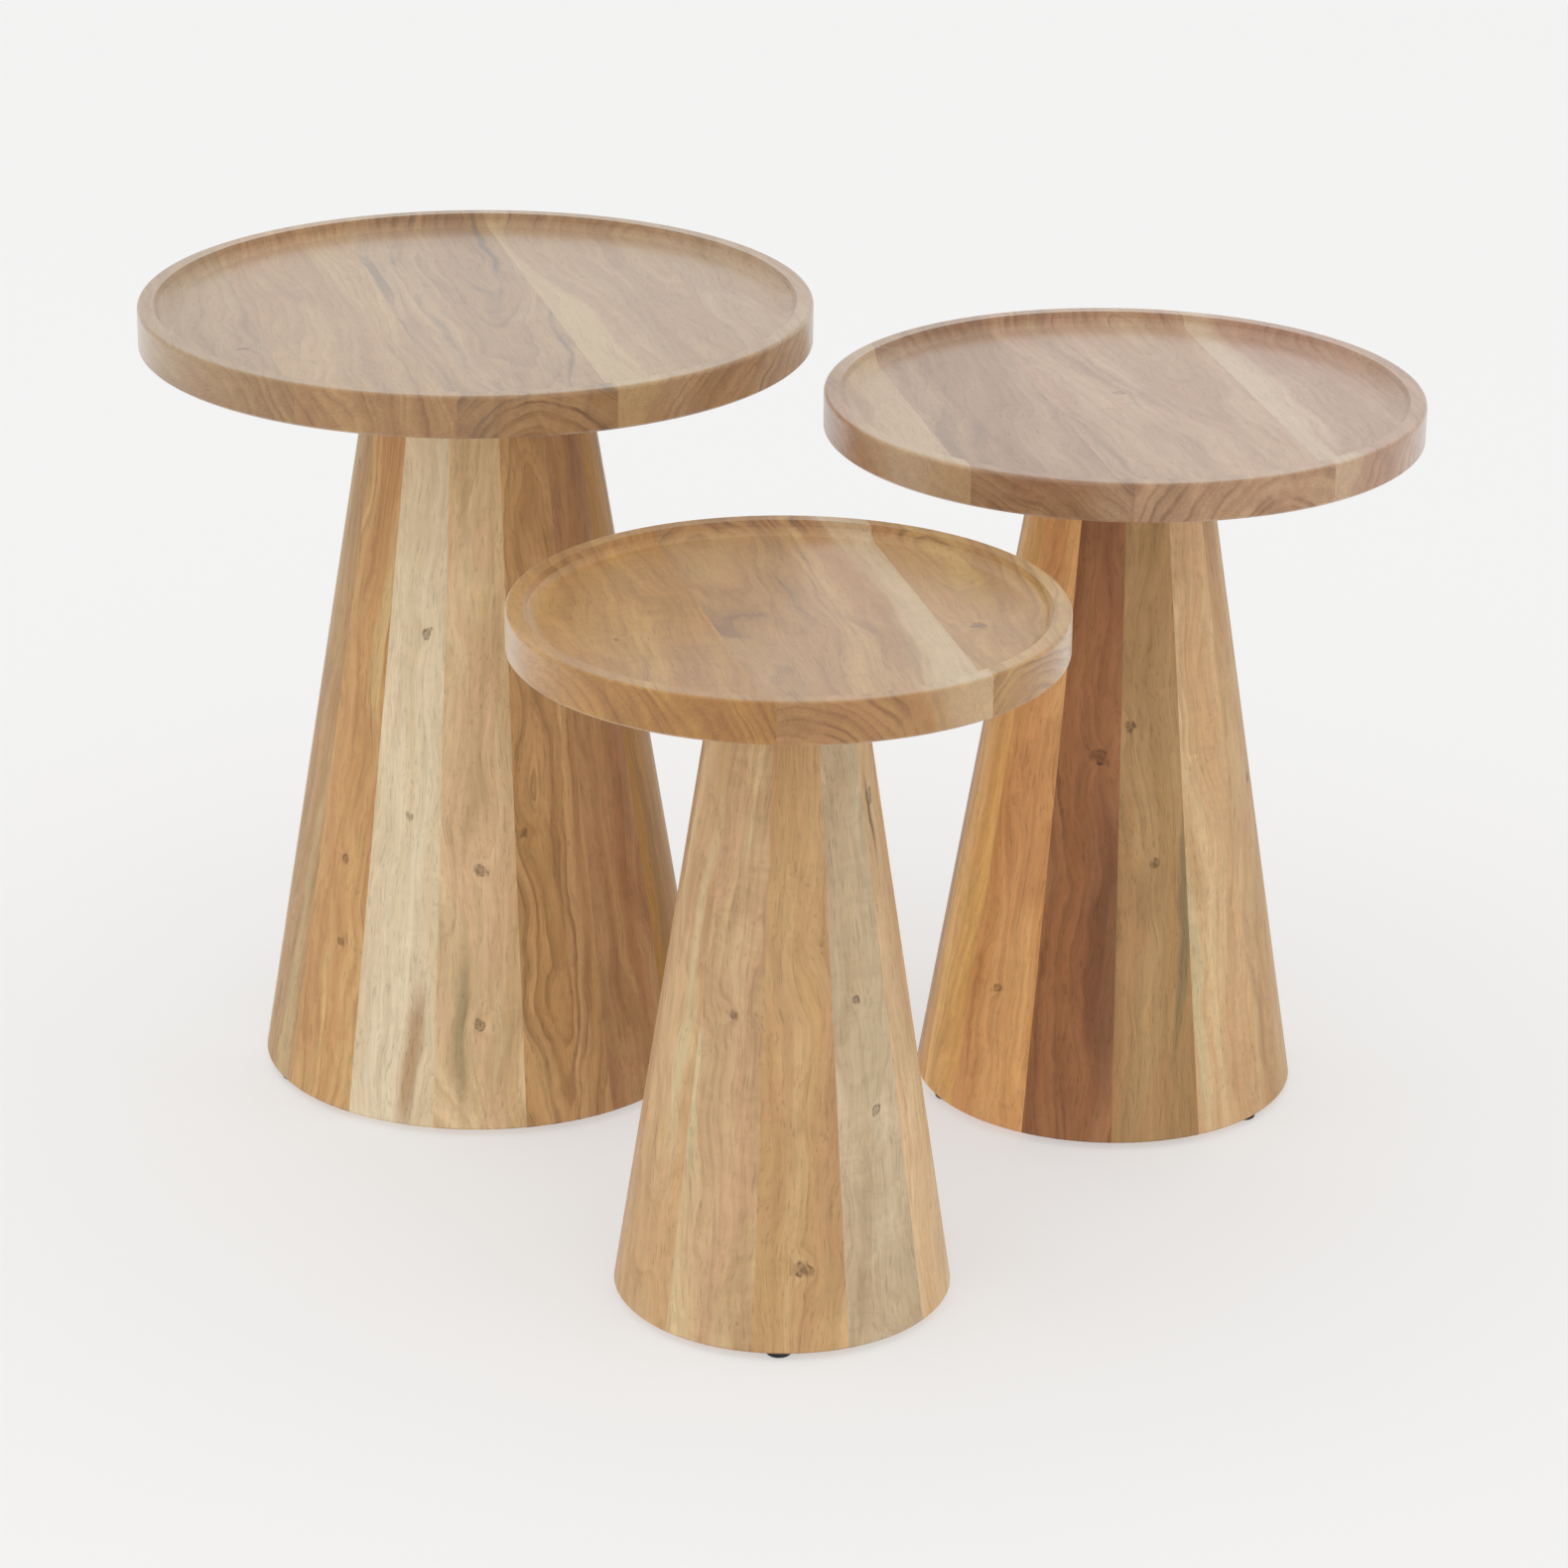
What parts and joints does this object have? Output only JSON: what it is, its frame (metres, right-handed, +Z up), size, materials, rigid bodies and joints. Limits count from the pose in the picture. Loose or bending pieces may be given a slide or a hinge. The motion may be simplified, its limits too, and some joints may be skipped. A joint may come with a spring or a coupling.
{
  "type": "nesting tables",
  "caption": "Set of nesting side tables: round shallow-tray tops of edge-glued planks on conical staved pedestals, graded so the lower ones slide in under the higher.",
  "frame": {"origin": "on the floor, under the middle of the outline of the three tables as they stand spread out", "axes": "+Z up; the large table stands at -X +Y, the medium one at +X +Y, the small one in front at -Y"},
  "size_m": [0.8572, 0.766, 0.545],
  "materials": {
    "wood_pale": "satin oiled, pale sapwood",
    "wood_tan": "satin oiled, tan",
    "wood_warm": "satin oiled, warm orange-tan",
    "wood_brown": "satin oiled, reddish brown heartwood",
    "block_wood": "unfinished, sawn",
    "screw_steel": "zinc plated",
    "glide_plastic": "black, lightly textured"
  },
  "bodies": {
    "large_table": {"large_stave_01": "wood_tan", "large_stave_02": "wood_tan", "large_stave_03": "wood_brown", "large_stave_04": "wood_warm", "large_stave_05": "wood_tan", "large_stave_06": "wood_pale", "large_stave_07": "wood_brown", "large_stave_08": "wood_tan", "large_stave_09": "wood_warm", "large_stave_10": "wood_tan", "large_stave_11": "wood_brown", "large_stave_12": "wood_pale", "large_stave_13": "wood_tan", "large_stave_14": "wood_warm", "large_stave_15": "wood_pale", "large_plank_1": "wood_tan", "large_plank_2": "wood_warm", "large_plank_3": "wood_brown", "large_plank_4": "wood_pale", "large_plank_5": "wood_warm", "large_neck_block": "block_wood", "large_top_screws": "screw_steel", "large_glides": "glide_plastic"},
    "medium_table": {"medium_stave_01": "wood_tan", "medium_stave_02": "wood_pale", "medium_stave_03": "wood_tan", "medium_stave_04": "wood_warm", "medium_stave_05": "wood_brown", "medium_stave_06": "wood_tan", "medium_stave_07": "wood_pale", "medium_stave_08": "wood_tan", "medium_stave_09": "wood_warm", "medium_stave_10": "wood_brown", "medium_stave_11": "wood_tan", "medium_stave_12": "wood_warm", "medium_stave_13": "wood_brown", "medium_plank_1": "wood_pale", "medium_plank_2": "wood_brown", "medium_plank_3": "wood_warm", "medium_plank_4": "wood_tan", "medium_neck_block": "block_wood", "medium_top_screws": "screw_steel", "medium_glides": "glide_plastic"},
    "small_table": {"small_stave_01": "wood_warm", "small_stave_02": "wood_pale", "small_stave_03": "wood_warm", "small_stave_04": "wood_brown", "small_stave_05": "wood_tan", "small_stave_06": "wood_warm", "small_stave_07": "wood_pale", "small_stave_08": "wood_tan", "small_stave_09": "wood_brown", "small_stave_10": "wood_warm", "small_stave_11": "wood_tan", "small_plank_1": "wood_warm", "small_plank_2": "wood_tan", "small_plank_3": "wood_brown", "small_neck_block": "block_wood", "small_top_screws": "screw_steel", "small_glides": "glide_plastic"}
  },
  "joints": [
    {"name": "medium_slide", "type": "slide", "parent": "large_table", "child": "medium_table", "axis": [-0.9968, 0.0802, 0], "range_m": [0, 0.145]},
    {"name": "small_slide", "type": "slide", "parent": "large_table", "child": "small_table", "axis": [-0.3935, 0.9193, 0], "range_m": [0, 0.159]}
  ]
}
